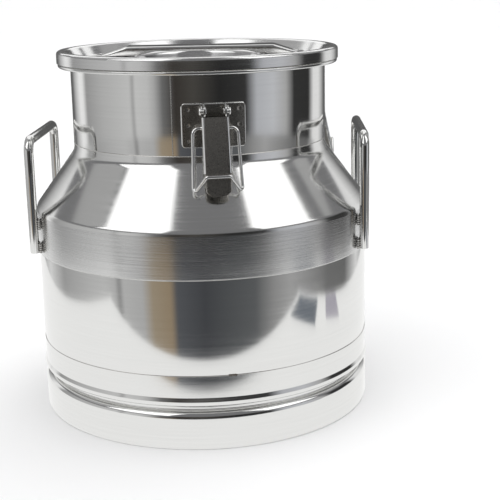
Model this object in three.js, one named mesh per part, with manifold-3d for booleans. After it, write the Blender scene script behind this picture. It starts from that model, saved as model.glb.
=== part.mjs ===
// Stainless steel milk can with a lift-off sealed lid, three toggle latches and two side handles.
// Millimetres, +Z up. The origin is at the middle of the foot ring's underside, and the side
// handles stand on the X axis.
import * as THREE from "three";
import { mergeVertices } from "three/addons/utils/BufferGeometryUtils.js";
import Module from "manifold-3d";

const wasm = await Module();
wasm.setup();

// ---- driving dimensions ----
const SHEET = 1.5; // wall of the can
const LID_SHEET = 1.2; // wall of the lid
const GAP = 0.3; // between pieces that touch
const ROUND_STEPS = 2; // segments in a rounded corner
const TURN_STEPS = 32; // segments round the can

const BODY_RADIUS = 162.5;
const BAND_RADIUS = 163.3; // skirt of the shoulder, lapped over the body
const FOOT_RADIUS = 163.3;
const FOOT_LIP_RADIUS = 150; // inner edge of the foot's rolled-in floor lip
const GROOVE_RADIUS = 156; // between the foot and the bottom cup
const NECK_RADIUS = 123.3;
const MOUTH_RADIUS = 135;
const RIM_RADIUS = 136;
const CUP_BEAD = 1.3; // how far the bottom cup's bead stands out from the body
const LAP_DEPTH = 10; // of the body's tucked edge inside the skirt

const FOOT_SHOULDER = 36; // where the foot turns in to the groove
const FOOT_TOP = 41.2;
const SEAM_HEIGHT = 70.5; // weld between the bottom cup and the body
const LAP_HEIGHT = 159.5; // lower edge of the shoulder's skirt
const SHOULDER_HEIGHT = 201.3; // where the skirt meets the cone
const NECK_HEIGHT = 255; // where the cone meets the neck
const NECK_SEAM_HEIGHT = 262.4;
const MOUTH_HEIGHT = 334.7; // underside of the mouth bead
const MOUTH_THICKNESS = 3.6;
const RIM_BOTTOM = 338.8;
const RIM_TOP = 350;

const PLATE_RADIUS = 106; // flat of the lid, inside the hooking groove
const PLATE_HEIGHT = 343;
const GROOVE_HEIGHT = 339.6;
const DISH_RADIUS = 61; // finger dish under the lid handle
const DISH_HEIGHT = 322;

const STRAP_TOP = 352; // lid handle
const STRAP_WIDTH = 32;
const STRAP_SHEET = 1.5;
const STRAP_OFFSET = 3; // the strap is welded a little off the middle
const STRAP_HALF_TOP = 71; // half length of the strap's raised part, of its slopes and in all
const STRAP_HALF_SLOPE = 94;
const STRAP_HALF_LENGTH = 100;
const STRAP_GRIP_SKIRT = 4.5; // the skirts are this shallow along the grip

const ROD_RADIUS = 4.5; // side handles
const ROD_SIDES = 10;
const HANDLE_REACH = 157.6; // plane of each handle, from the middle
const HANDLE_HALF_SPAN = 63.7;
const HANDLE_BOTTOM = 162;
const HANDLE_TOP = 269.5; // centreline of the grip
const HANDLE_BEND = 12;
const WELD_HEIGHTS = [167, 190];
const WELD_SIZE = [1.9, 3.2, 5]; // half sizes of a weld bead, outwards, round the can and up

// Degrees from -Y towards +X. A latch behind a side handle stands 10 degrees or more from the
// handle's leg, so that the lever and the bail swing past it.
const LATCH_AZIMUTHS = { front: 9.7, right: 122, rear: 236 };
const PIVOT_RADIUS = 132.5; // lever hinge pin, from the can's axis
const PIVOT_HEIGHT = 303;
const REST_TILT = THREE.MathUtils.degToRad(12.5); // lever's lean at rest
const PIN_RADIUS = 2;
const PIN_HEAD_RADIUS = 3.4;
const PIN_HEAD_HEIGHT = 1.5;
const EAR_INNER = 8.6; // from the latch's middle plane
const EAR_SHEET = 1.5;
const CHEEK_INNER = 11;
const LEVER_SHEET = 1.2;
const LEVER_LENGTH = 74.5; // from the pin to the tip
const BAIL_PIVOT = new THREE.Vector2(-4, 14); // outward of and below the pin, along the lever
const WIRE_RADIUS = 1.5;
const PLATE_WIDTH = 58;
const PLATE_TOP = 309.5;
const PLATE_BOTTOM = 270;

// ---- materials ----
function steel(color, roughness) {
  return new THREE.MeshStandardMaterial({ color, roughness, metalness: 1 });
}

const polishedSteel = steel(0xc9cbcc, 0.16);
const brushedSteel = steel(0xb4b6b8, 0.32);
const latchSteel = steel(0x8d8c88, 0.36);
const wireSteel = steel(0xd2d3d3, 0.18);
const silicone = new THREE.MeshStandardMaterial({ color: 0xd9d8d2, roughness: 0.6, metalness: 0 });

// ---- outlines ----
// A polyline through the corners [x, y, radius], with an arc at each corner that has a radius.
function roundCorners(corners, closed = false) {
  const points = [];
  const count = corners.length;
  corners.forEach(([x, y, radius = 0], i) => {
    const corner = new THREE.Vector2(x, y);
    const atEnd = !closed && (i === 0 || i === count - 1);
    if (radius === 0 || atEnd) {
      points.push(corner);
      return;
    }
    const before = new THREE.Vector2(...corners[(i + count - 1) % count]).sub(corner).normalize();
    const after = new THREE.Vector2(...corners[(i + 1) % count]).sub(corner).normalize();
    const half = Math.acos(THREE.MathUtils.clamp(before.dot(after), -1, 1)) / 2;
    const middle = before.clone().add(after).normalize().multiplyScalar(radius / Math.sin(half)).add(corner);
    const start = before.clone().multiplyScalar(radius / Math.tan(half)).add(corner).sub(middle);
    const turn = (Math.PI - 2 * half) * Math.sign(after.cross(before));
    for (let step = 0; step <= ROUND_STEPS; step += 1) {
      const spoke = start.clone().rotateAround(new THREE.Vector2(), (turn * step) / ROUND_STEPS);
      points.push(spoke.add(middle));
    }
  });
  return points;
}

// The line moved to its left by a distance, with mitred corners.
function offsetLeft(line, distance) {
  return line.map((point, i) => {
    const normals = [];
    if (i > 0) normals.push(point.clone().sub(line[i - 1]).normalize());
    if (i < line.length - 1) normals.push(line[i + 1].clone().sub(point).normalize());
    const sum = normals.reduce((total, n) => total.add(new THREE.Vector2(-n.y, n.x)), new THREE.Vector2());
    const first = new THREE.Vector2(-normals[0].y, normals[0].x);
    sum.normalize();
    return sum.multiplyScalar(distance / sum.dot(first)).add(point);
  });
}

// ---- solids ----
function toSolid(geometry) {
  const bare = geometry.clone();
  bare.deleteAttribute("normal");
  bare.deleteAttribute("uv");
  const merged = mergeVertices(bare, 1e-4);
  return new wasm.Manifold(new wasm.Mesh({
    numProp: 3,
    vertProperties: new Float32Array(merged.attributes.position.array),
    triVerts: new Uint32Array(merged.index.array),
  }));
}

function toGeometry(solid) {
  const mesh = solid.getMesh();
  const geometry = new THREE.BufferGeometry();
  geometry.setAttribute("position", new THREE.BufferAttribute(mesh.vertProperties, 3));
  geometry.setIndex(new THREE.BufferAttribute(mesh.triVerts, 1));
  return geometry;
}

function join(geometries) {
  return toGeometry(geometries.map(toSolid).reduce((whole, solid) => whole.add(solid)));
}

function cut(geometry, holes) {
  return toGeometry(holes.map(toSolid).reduce((whole, hole) => whole.subtract(hole), toSolid(geometry)));
}

// The profile, in radius and height, turned about the Z axis.
function revolve(profile) {
  return new THREE.LatheGeometry(profile, TURN_STEPS).rotateX(Math.PI / 2);
}

// A round sheet whose outer line runs upwards and doesn't touch the axis.
function revolveSheet(corners, sheet) {
  const outer = roundCorners(corners);
  const inner = offsetLeft(outer, sheet).reverse();
  return revolve([...outer, ...inner, outer[0]]);
}

// A solid ring with a closed section.
function revolveRing(corners) {
  const section = roundCorners(corners, true);
  return revolve([...section, section[0]]);
}

function extrude(shape, depth) {
  return new THREE.ExtrudeGeometry(shape, { depth, bevelEnabled: false, curveSegments: 10 });
}

// An outline in X and Z, given thickness along Y and centred on y.
function extrudeAlongY(points, thickness, y = 0) {
  const geometry = extrude(new THREE.Shape(points), thickness);
  return geometry.rotateX(Math.PI / 2).translate(0, y + thickness / 2, 0);
}

// An outline in outward distance and Z, given thickness along X from x. Outward is -Y.
function extrudeAlongX(points, thickness, x) {
  const geometry = extrude(new THREE.Shape(points), thickness);
  return geometry.rotateX(Math.PI / 2).rotateZ(-Math.PI / 2).translate(x + thickness, 0, 0);
}

// A bore along X, wide enough for a pin of the radius and longer than any latch is wide.
function boreAlongX(pinRadius) {
  return new THREE.CylinderGeometry(pinRadius + 0.4, pinRadius + 0.4, 40, 12).rotateZ(Math.PI / 2);
}

// A circular arc in space, by its middle and its two ends.
class BendCurve extends THREE.Curve {
  constructor(middle, start, end) {
    super();
    this.middle = middle;
    this.spoke = start.clone().sub(middle);
    this.axis = this.spoke.clone().cross(end.clone().sub(middle)).normalize();
    this.angle = this.spoke.angleTo(end.clone().sub(middle));
  }

  getPoint(t, target = new THREE.Vector3()) {
    return target.copy(this.spoke).applyAxisAngle(this.axis, this.angle * t).add(this.middle);
  }
}

// A round rod swept along corners that are joined by arcs of one bend radius.
function sweepRod(corners, bend, radius, sides, stepLength) {
  const path = new THREE.CurvePath();
  let from = corners[0];
  for (let i = 1; i < corners.length - 1; i += 1) {
    const corner = corners[i];
    const before = from.clone().sub(corner).normalize();
    const after = corners[i + 1].clone().sub(corner).normalize();
    const half = before.angleTo(after) / 2;
    const start = before.clone().multiplyScalar(bend / Math.tan(half)).add(corner);
    const end = after.clone().multiplyScalar(bend / Math.tan(half)).add(corner);
    const middle = before.clone().add(after).normalize().multiplyScalar(bend / Math.sin(half)).add(corner);
    path.add(new THREE.LineCurve3(from, start));
    path.add(new BendCurve(middle, start, end));
    from = end;
  }
  path.add(new THREE.LineCurve3(from, corners[corners.length - 1]));
  const steps = Math.round(path.getLength() / stepLength);
  const circle = new THREE.EllipseCurve(0, 0, radius, radius).getPoints(sides).slice(0, sides);
  return new THREE.ExtrudeGeometry(new THREE.Shape(circle), { steps, extrudePath: path });
}

const part = new THREE.Group();

function addMesh(group, name, geometry, material) {
  const mesh = new THREE.Mesh(geometry, material);
  mesh.name = name;
  group.add(mesh);
  return mesh;
}

// ---- can ----
function footRing() {
  return revolveSheet([
    [FOOT_LIP_RADIUS, 0],
    [FOOT_RADIUS, 0, 3],
    [FOOT_RADIUS, FOOT_SHOULDER, 6.5],
    [GROOVE_RADIUS, FOOT_SHOULDER],
    [GROOVE_RADIUS, FOOT_TOP],
  ], SHEET);
}

function bottomCup() {
  const floor = FOOT_TOP + GAP;
  const outer = roundCorners([
    [0, floor],
    [BODY_RADIUS + CUP_BEAD, floor, 3],
    [BODY_RADIUS + CUP_BEAD, floor + 5, 2],
    [BODY_RADIUS, floor + 8, 2],
    [BODY_RADIUS, SEAM_HEIGHT - GAP / 2],
  ]);
  const inner = offsetLeft(outer, SHEET).reverse();
  return revolve([...outer, ...inner]);
}

// The upper edge steps inwards, so that the shoulder's skirt laps over it.
function bodyShell() {
  const tucked = BAND_RADIUS - SHEET - 2 * GAP;
  return revolveSheet([
    [BODY_RADIUS, SEAM_HEIGHT + GAP / 2],
    [BODY_RADIUS, LAP_HEIGHT - 2],
    [tucked, LAP_HEIGHT + 1],
    [tucked, LAP_HEIGHT + LAP_DEPTH],
  ], SHEET);
}

function shoulderShell() {
  return revolveSheet([
    [BAND_RADIUS, LAP_HEIGHT],
    [BAND_RADIUS, SHOULDER_HEIGHT, 10],
    [NECK_RADIUS, NECK_HEIGHT, 15],
    [NECK_RADIUS, NECK_SEAM_HEIGHT - GAP / 2],
  ], SHEET);
}

function neckShell() {
  return revolveSheet([
    [NECK_RADIUS, NECK_SEAM_HEIGHT + GAP / 2],
    [NECK_RADIUS, MOUTH_HEIGHT - GAP],
  ], SHEET);
}

function mouthRing() {
  const inside = NECK_RADIUS - SHEET;
  const top = MOUTH_HEIGHT + MOUTH_THICKNESS;
  return revolveRing([
    [inside, MOUTH_HEIGHT],
    [MOUTH_RADIUS, MOUTH_HEIGHT, 1.7],
    [MOUTH_RADIUS, top, 1.7],
    [inside, top],
  ]);
}

// ---- lid ----
// From the rim's lower edge, over the bead and the hooking groove, down to the middle of the dish.
function lidShell() {
  const outer = roundCorners([
    [RIM_RADIUS, RIM_BOTTOM],
    [RIM_RADIUS, RIM_TOP, 4.5],
    [RIM_RADIUS - 8.5, RIM_TOP, 3],
    [RIM_RADIUS - 15, GROOVE_HEIGHT, 3],
    [PLATE_RADIUS + 4, GROOVE_HEIGHT, 3],
    [PLATE_RADIUS, PLATE_HEIGHT, 3],
    [DISH_RADIUS + 2, PLATE_HEIGHT, 4],
    [DISH_RADIUS - 2, DISH_HEIGHT, 8],
    [0, DISH_HEIGHT],
  ]);
  const inner = offsetLeft(outer, LID_SHEET).reverse();
  return revolve([...inner, ...outer]);
}

function lidGasket() {
  const seat = MOUTH_HEIGHT + MOUTH_THICKNESS + GAP;
  return revolveRing([
    [NECK_RADIUS + 0.7, seat],
    [RIM_RADIUS - LID_SHEET - 0.4, seat],
    [RIM_RADIUS - LID_SHEET - 0.4, seat + 5],
    [NECK_RADIUS + 3.7, seat + 5],
  ]);
}

// A bridge of bent sheet over the dish, with its long edges turned down as skirts.
function lidHandle() {
  const foot = PLATE_HEIGHT + GAP;
  const topLine = roundCorners([
    [STRAP_HALF_LENGTH, foot + STRAP_SHEET],
    [STRAP_HALF_SLOPE, foot + STRAP_SHEET, 3],
    [STRAP_HALF_TOP, STRAP_TOP, 5],
    [-STRAP_HALF_TOP, STRAP_TOP, 5],
    [-STRAP_HALF_SLOPE, foot + STRAP_SHEET, 3],
    [-STRAP_HALF_LENGTH, foot + STRAP_SHEET],
  ]);
  const strap = [...topLine, ...offsetLeft(topLine, STRAP_SHEET).reverse()];
  const skirt = roundCorners([
    [STRAP_HALF_SLOPE, foot],
    [STRAP_HALF_SLOPE, foot + STRAP_SHEET / 2],
    [STRAP_HALF_TOP, STRAP_TOP - STRAP_SHEET / 2],
    [-STRAP_HALF_TOP, STRAP_TOP - STRAP_SHEET / 2],
    [-STRAP_HALF_SLOPE, foot + STRAP_SHEET / 2],
    [-STRAP_HALF_SLOPE, foot],
    [-62, foot + 0.5],
    [-40, STRAP_TOP - STRAP_GRIP_SKIRT, 8],
    [40, STRAP_TOP - STRAP_GRIP_SKIRT, 8],
    [62, foot + 0.5],
  ], true);
  const skirtPlace = (STRAP_WIDTH - STRAP_SHEET) / 2;
  return join([
    extrudeAlongY(strap, STRAP_WIDTH),
    extrudeAlongY(skirt, STRAP_SHEET, skirtPlace),
    extrudeAlongY(skirt, STRAP_SHEET, -skirtPlace),
  ]);
}

// ---- side handles ----
// An upright rod loop at x = HANDLE_REACH, with weld beads between its legs and the band.
function sideHandle() {
  const corner = (side, height) => new THREE.Vector3(HANDLE_REACH, side * HANDLE_HALF_SPAN, height);
  const loop = sweepRod([
    corner(-1, HANDLE_BOTTOM),
    corner(-1, HANDLE_TOP),
    corner(1, HANDLE_TOP),
    corner(1, HANDLE_BOTTOM),
  ], HANDLE_BEND, ROD_RADIUS, ROD_SIDES, 10);
  const legRadius = Math.hypot(HANDLE_REACH, HANDLE_HALF_SPAN);
  const weldRadius = BAND_RADIUS + 2 * GAP + WELD_SIZE[0];
  const welds = [];
  for (const side of [-1, 1]) {
    const angle = side * Math.atan2(HANDLE_HALF_SPAN, HANDLE_REACH);
    for (const height of WELD_HEIGHTS) {
      const weld = new THREE.SphereGeometry(1, 8, 6).scale(...WELD_SIZE);
      weld.rotateZ(angle).translate(weldRadius * Math.cos(angle), weldRadius * Math.sin(angle), height);
      welds.push(weld);
    }
  }
  if (legRadius - ROD_RADIUS > weldRadius) throw new Error("the weld beads don't reach the rod");
  return join([loop, ...welds]);
}

// ---- latches ----
// A latch is drawn where it would sit at azimuth 0, with -Y outward, and turned to its place.

// Curved base plate with two ears that carry the hinge pin.
function latchPlate() {
  const inside = NECK_RADIUS + GAP;
  const outside = inside + SHEET;
  const halfAngle = Math.asin(PLATE_WIDTH / 2 / inside);
  const height = PLATE_TOP - PLATE_BOTTOM;
  const sector = new THREE.Shape();
  sector.absarc(0, 0, outside, -Math.PI / 2 - halfAngle, -Math.PI / 2 + halfAngle, false);
  sector.absarc(0, 0, inside, -Math.PI / 2 + halfAngle, -Math.PI / 2 - halfAngle, true);
  const curved = extrude(sector, height).translate(0, 0, PLATE_BOTTOM);
  const face = extrudeAlongY(roundCorners([
    [-PLATE_WIDTH / 2, PLATE_BOTTOM, 4],
    [PLATE_WIDTH / 2, PLATE_BOTTOM, 4],
    [PLATE_WIDTH / 2, PLATE_TOP, 4],
    [-PLATE_WIDTH / 2, PLATE_TOP, 4],
  ], true), 40, -inside);
  const ear = roundCorners([
    [outside - 0.9, PIVOT_HEIGHT - 6.5],
    [PIVOT_RADIUS - 3, PIVOT_HEIGHT - 6.5],
    [PIVOT_RADIUS + 4.5, PIVOT_HEIGHT - 4, 4],
    [PIVOT_RADIUS + 4.5, PIVOT_HEIGHT + 4, 4],
    [PIVOT_RADIUS - 3, PLATE_TOP],
    [outside - 0.9, PLATE_TOP],
  ], true);
  const ears = [EAR_INNER, -EAR_INNER - EAR_SHEET].map((x) => extrudeAlongX(ear, EAR_SHEET, x));
  const bore = boreAlongX(PIN_RADIUS).translate(0, -PIVOT_RADIUS, PIVOT_HEIGHT);
  const plate = toSolid(curved).intersect(toSolid(face));
  return cut(join([toGeometry(plate), ...ears]), [bore]);
}

// Rivet with a head outside each cheek, along the Z axis until it is placed.
function latchPin() {
  const shank = CHEEK_INNER + LEVER_SHEET + 0.6;
  const head = shank + PIN_HEAD_HEIGHT;
  const pin = new THREE.LatheGeometry([
    new THREE.Vector2(0, -head),
    new THREE.Vector2(2.2, -head),
    new THREE.Vector2(PIN_HEAD_RADIUS, -head + 0.7),
    new THREE.Vector2(PIN_HEAD_RADIUS, -shank),
    new THREE.Vector2(PIN_RADIUS, -shank),
    new THREE.Vector2(PIN_RADIUS, shank),
    new THREE.Vector2(PIN_HEAD_RADIUS, shank),
    new THREE.Vector2(PIN_HEAD_RADIUS, head - 0.7),
    new THREE.Vector2(2.2, head),
    new THREE.Vector2(0, head),
  ], 12);
  return pin.rotateZ(Math.PI / 2);
}

// Channel lever hanging from the pin at its own origin: a face outside, and a cheek on each side
// that is deep beside the neck and carries the bail.
function latchLever() {
  const outerFace = 3;
  const top = 5.2;
  const shoulder = 54;
  const face = roundCorners([
    [-12.2, -top],
    [-13, -shoulder],
    [-11.3, -shoulder - 3],
    [-11.3, -LEVER_LENGTH, 6],
    [11.3, -LEVER_LENGTH, 6],
    [11.3, -shoulder - 3],
    [13, -shoulder],
    [12.2, -top],
  ]);
  const cheek = roundCorners([
    [outerFace, -top],
    [outerFace, 5.5, 5],
    [-6.6, 5.5, 5],
    [-12.2, -19, 5],
    [-2, -25, 6],
    [0.4, -37],
    [0.4, -shoulder],
    [outerFace, -shoulder],
  ], true);
  const bailBore = boreAlongX(WIRE_RADIUS).translate(0, -BAIL_PIVOT.x, -BAIL_PIVOT.y);
  const channel = join([
    extrudeAlongY(face, LEVER_SHEET, -outerFace + LEVER_SHEET / 2),
    extrudeAlongX(cheek, LEVER_SHEET, CHEEK_INNER),
    extrudeAlongX(cheek, LEVER_SHEET, -CHEEK_INNER - LEVER_SHEET),
  ]);
  return cut(channel, [boreAlongX(PIN_RADIUS), bailBore]);
}

// Wire bail hanging from its pivot at its own origin. Its lower end is folded outwards and up into
// the hook that goes over the lid's rim.
function latchBail() {
  const half = [
    [EAR_INNER + 0.4, 0, 0],
    [19.8, 0, 0],
    [21.9, 0, -58],
    [10.6, 10, -43.3],
  ];
  const corners = half.map(([x, outward, z]) => new THREE.Vector3(x, -outward, z));
  const mirrored = corners.map((corner) => new THREE.Vector3(-corner.x, corner.y, corner.z)).reverse();
  return sweepRod([...corners, ...mirrored], 2.6, WIRE_RADIUS, 8, 4.6);
}

function addLatch(name, azimuth) {
  const latch = new THREE.Group();
  latch.rotation.z = THREE.MathUtils.degToRad(azimuth);
  part.add(latch);
  addMesh(latch, `latch_${name}_plate`, latchPlate(), latchSteel);
  const pin = addMesh(latch, `latch_${name}_pin`, latchPin(), wireSteel);
  pin.position.set(0, -PIVOT_RADIUS, PIVOT_HEIGHT);
  const swing = new THREE.Group();
  swing.position.copy(pin.position);
  swing.rotation.x = -REST_TILT;
  latch.add(swing);
  addMesh(swing, `latch_${name}_lever`, latchLever(), latchSteel);
  const bail = addMesh(swing, `latch_${name}_bail`, latchBail(), wireSteel);
  bail.position.set(0, -BAIL_PIVOT.x, -BAIL_PIVOT.y);
}

// ---- assembly ----
addMesh(part, "foot_ring", footRing(), polishedSteel);
addMesh(part, "bottom_cup", bottomCup(), polishedSteel);
addMesh(part, "body_shell", bodyShell(), polishedSteel);
addMesh(part, "shoulder_shell", shoulderShell(), brushedSteel);
addMesh(part, "neck_shell", neckShell(), polishedSteel);
addMesh(part, "mouth_ring", mouthRing(), polishedSteel);
addMesh(part, "lid_shell", lidShell(), brushedSteel);
addMesh(part, "lid_gasket", lidGasket(), silicone);
addMesh(part, "lid_handle", lidHandle(), polishedSteel).position.x = STRAP_OFFSET;
addMesh(part, "side_handle_right", sideHandle(), polishedSteel);
addMesh(part, "side_handle_left", sideHandle(), polishedSteel).rotation.z = Math.PI;
for (const [name, azimuth] of Object.entries(LATCH_AZIMUTHS)) {
  addLatch(name, azimuth);
}

export default part;
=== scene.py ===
"""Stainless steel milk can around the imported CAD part: visual pieces, materials, studio and camera.

Outlines are in millimetres and are turned into metres when a mesh is made. A latch is drawn where
it would stand at azimuth 0, with -Y outwards, and is turned to its place.
"""
import math

import bmesh
import bpy
from mathutils import Matrix, Vector


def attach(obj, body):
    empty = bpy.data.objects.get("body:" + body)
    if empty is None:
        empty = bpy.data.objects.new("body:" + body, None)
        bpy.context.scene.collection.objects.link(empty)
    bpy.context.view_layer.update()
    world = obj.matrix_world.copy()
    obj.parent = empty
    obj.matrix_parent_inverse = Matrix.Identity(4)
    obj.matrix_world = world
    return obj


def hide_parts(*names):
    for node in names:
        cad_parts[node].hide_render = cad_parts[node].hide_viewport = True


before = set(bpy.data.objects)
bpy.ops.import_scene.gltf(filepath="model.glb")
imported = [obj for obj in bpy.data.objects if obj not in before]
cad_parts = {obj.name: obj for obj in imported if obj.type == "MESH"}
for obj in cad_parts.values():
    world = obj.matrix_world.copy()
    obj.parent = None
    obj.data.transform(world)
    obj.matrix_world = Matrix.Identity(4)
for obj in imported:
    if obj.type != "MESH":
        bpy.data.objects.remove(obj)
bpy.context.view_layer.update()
MM = 0.001

# ---- sizes, in millimetres ----
SHEET = 1.5
LID_SHEET = 1.2
EDGE = 0.35  # rounding of a cut sheet edge
SEAM_GAP = 0.15  # half the gap that a weld fills
TURN_STEPS = 256

# radii of the can
FOOT_INSIDE = 150
FOOT_RADIUS = 163.3
GROOVE_RADIUS = 156
CUP_RADIUS = 163.8
BODY_RADIUS = 162.5
BAND_RADIUS = 163.3
NECK_RADIUS = 123.3
MOUTH_RADIUS = 135
RIM_RADIUS = 136

# heights of the can
FOOT_SHOULDER = 36
FOOT_TOP = 41.2
CUP_BOTTOM = 41.5
CUP_BEAD_TOP = 46.5
CUP_WALL = 49.5  # where the cup is as narrow as the body
SEAM_HEIGHT = 70.5
SEAM_TACK = (10.6, 13.4)  # azimuths that the tack on the body's seam runs between
UPRIGHT_SEAM = -7.6  # azimuth of the neck's upright seam
LAP_HEIGHT = 159.5
BAND_TOP = 201.3
CONE_TOP = 255
NECK_SEAM_HEIGHT = 262.4
NECK_TOP = 334.4
MOUTH_BOTTOM = 334.7
MOUTH_TOP = 338.3

# lid
RIM_BOTTOM = 338.8
RIM_TOP = 350
RIM_INSIDE = 127.5  # radii, from the rim in to the dish
HOOK_OUTSIDE = 121
HOOK_INSIDE = 110
FLAT_OUTSIDE = 106
DISH_RADIUS = 63
DISH_FLOOR_RADIUS = 59
HOOK_GROOVE = 339.6  # heights
FLAT_HEIGHT = 343
DISH_FLOOR = 322
SEAL_INSIDE = 124
SEAL_INSIDE_TOP = 127
SEAL_OUTSIDE = 134.4
SEAL_BOTTOM = 338.6
SEAL_TOP = 343.6
STRAP_OFFSET = 3
STRAP_TOP = 352
STRAP_FOOT = 344.8
STRAP_HALF_TOP = 71
STRAP_HALF_SLOPE = 94
STRAP_HALF_LENGTH = 100
STRAP_HALF_WIDTH = 16
STRAP_LOWEST = 343.35
STRAP_GRIP_SKIRT = 347.5  # lower edge of the skirts where fingers go under
STRAP_END_SKIRT = 343.7

# side handles
HANDLE_REACH = 157.6
HANDLE_HALF_SPAN = 63.7
HANDLE_FOOT = 162
HANDLE_TOP = 269.5
HANDLE_BEND = 12
ROD_RADIUS = 4.5
WELD_REACH = 165
WELD_HALF_ANGLE = 3.1 / 165.6  # between a leg's middle and the weld beside it
WELD_LENGTH = 11
WELD_HEIGHTS = (167, 190)

# latches
LATCH_AZIMUTHS = {"front": 9.7, "right": 122, "rear": 236}
PIVOT_RADIUS = 132.5
PIVOT_HEIGHT = 303
REST_TILT = math.radians(12.5)
PLATE_WIDTH = 58
PLATE_BOTTOM = 270
PLATE_TOP = 309.5
PLATE_RADIUS = NECK_RADIUS + 1.8  # to the plate's outer face
PLATE_SHEET = 0.9
PLATE_EDGE = 0.9  # width of the rounded border, in bright steel that is partly worn polish and partly a painted highlight
PLATE_CORNER = 4
DIMPLE_HALF_SPAN = 22.7
DIMPLE_HEIGHTS = (276, 290, 304)
DIMPLE_DEPTH = 0.6
DIMPLE_LIP = 0.2  # height of the raised ring round a dimple
DIMPLE_RADIUS = 2.1
PIN_HOLE = 2.3  # radius
EAR_SHEET = 1.5
EAR_INSIDE = 8.6  # across, from the latch's middle
LEVER_SHEET = 1.2
LEVER_FACE = 3  # outwards from the pin
LEVER_START = 5.3  # distances along the lever count from the pin
CHANNEL_END = 54
TONGUE_START = 57
TIP_START = 69
LEVER_LENGTH = 74.5
LEVER_HALF = 12.4  # half widths, at the channel's end and on the tongue
TONGUE_HALF = 11.3
LEVER_TAPER = 0.2 / 48.8  # loss of half width per millimetre, from the channel's end to the pin
CHANNEL_CURL = 2.4  # radii of the rolled edges
TONGUE_CURL = 1.3
CHEEK_INSIDE = 11
WIRE_RADIUS = 1.5
BAIL_OUTWARD = -4
BAIL_DROP = 14


# ---- outlines ----
def rounded(corners, closed=False, steps=8):
    """The polyline through corners (x, y[, radius]), with an arc at each corner that has a radius."""
    points = []
    count = len(corners)
    for i, corner in enumerate(corners):
        at = Vector(corner[:2])
        radius = corner[2] if len(corner) > 2 else 0
        if not radius or (not closed and i in (0, count - 1)):
            points.append(at)
            continue
        before = (Vector(corners[i - 1][:2]) - at).normalized()
        after = (Vector(corners[(i + 1) % count][:2]) - at).normalized()
        half = math.acos(max(-1, min(1, before.dot(after)))) / 2
        middle = at + (before + after).normalized() * radius / math.sin(half)
        spoke = at + before * radius / math.tan(half) - middle
        turn = (math.pi - 2 * half) * (1 if before.cross(after) < 0 else -1)
        for step in range(steps + 1):
            points.append(middle + Matrix.Rotation(turn * step / steps, 2) @ spoke)
    return points


def offset_left(line, distance):
    """The line moved to its left, with mitred corners."""
    moved = []
    for i, point in enumerate(line):
        sides = []
        if i > 0:
            sides.append((point - line[i - 1]).normalized())
        if i < len(line) - 1:
            sides.append((line[i + 1] - point).normalized())
        normals = [Vector((-side.y, side.x)) for side in sides]
        total = sum(normals, Vector((0, 0))).normalized()
        moved.append(point + total * distance / total.dot(normals[0]))
    return moved


# ---- meshes ----
def add_piece(name, bm, body, slot, replaces=(), matrix=None, sharp=38):
    """Makes an object of a mesh drawn in millimetres, parents it to its body's empty, hides the CAD parts
    that it replaces and gives it its slot's material.
    """
    bmesh.ops.remove_doubles(bm, verts=bm.verts, dist=1e-4)
    bmesh.ops.recalc_face_normals(bm, faces=bm.faces)
    bmesh.ops.scale(bm, vec=(MM, MM, MM), verts=bm.verts)
    for face in bm.faces:
        face.smooth = True
    mesh = bpy.data.meshes.new(name)
    bm.to_mesh(mesh)
    bm.free()
    mesh.set_sharp_from_angle(angle=math.radians(sharp))
    piece = bpy.data.objects.new(name, mesh)
    bpy.context.scene.collection.objects.link(piece)
    if matrix is not None:
        piece.matrix_world = matrix
    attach(piece, body)
    if replaces:
        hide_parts(*replaces)
    piece.data.materials.append(MATERIALS[slot])
    return piece


def revolve(outline, steps=TURN_STEPS):
    """A closed outline in radius and height, turned about the Z axis."""
    bm = bmesh.new()
    rings = []
    for r, z in outline:
        if r < 1e-6:
            rings.append([bm.verts.new((0, 0, z))] * steps)
            continue
        angles = [2 * math.pi * i / steps for i in range(steps)]
        rings.append([bm.verts.new((r * math.cos(a), r * math.sin(a), z)) for a in angles])
    for lower, upper in zip(rings, rings[1:] + rings[:1]):
        for i in range(steps):
            j = (i + 1) % steps
            corners = dict.fromkeys([lower[i], lower[j], upper[j], upper[i]])
            if len(corners) > 2:
                bm.faces.new(corners)
    return bm


def sheet_outline(corners, sheet, to_axis=False):
    """The closed section of a bent sheet with softened cut edges."""
    outer = rounded(corners)
    inner = offset_left(outer, sheet)
    if to_axis:
        return outer + inner[::-1]
    ring = [[*point] for point in outer + inner[::-1]]
    for i in (0, len(outer) - 1, len(outer), len(ring) - 1):
        ring[i].append(EDGE)
    return rounded(ring, closed=True, steps=4)


def sweep(centre, radii, sides=20, closed=False):
    """A round tube along the points centre, with a radius at each. Its ends are capped unless closed."""
    bm = bmesh.new()
    count = len(centre)
    tangents = []
    for i in range(count):
        before = centre[i - 1] if (i or closed) else centre[i]
        after = centre[(i + 1) % count] if (i < count - 1 or closed) else centre[i]
        tangents.append((after - before).normalized())
    side = tangents[0].orthogonal().normalized()
    rings = []
    for point, tangent, radius in zip(centre, tangents, radii):
        side = (side - tangent * side.dot(tangent)).normalized()
        across = tangent.cross(side)
        ring = []
        for k in range(sides):
            angle = 2 * math.pi * k / sides
            ring.append(bm.verts.new(point + (side * math.cos(angle) + across * math.sin(angle)) * radius))
        rings.append(ring)
    pairs = list(zip(rings, rings[1:])) + ([(rings[-1], rings[0])] if closed else [])
    for a, b in pairs:
        for k in range(sides):
            j = (k + 1) % sides
            bm.faces.new((a[k], a[j], b[j], b[k]))
    if not closed:
        bm.faces.new(rings[0][::-1])
        bm.faces.new(rings[-1])
    return bm


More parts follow.
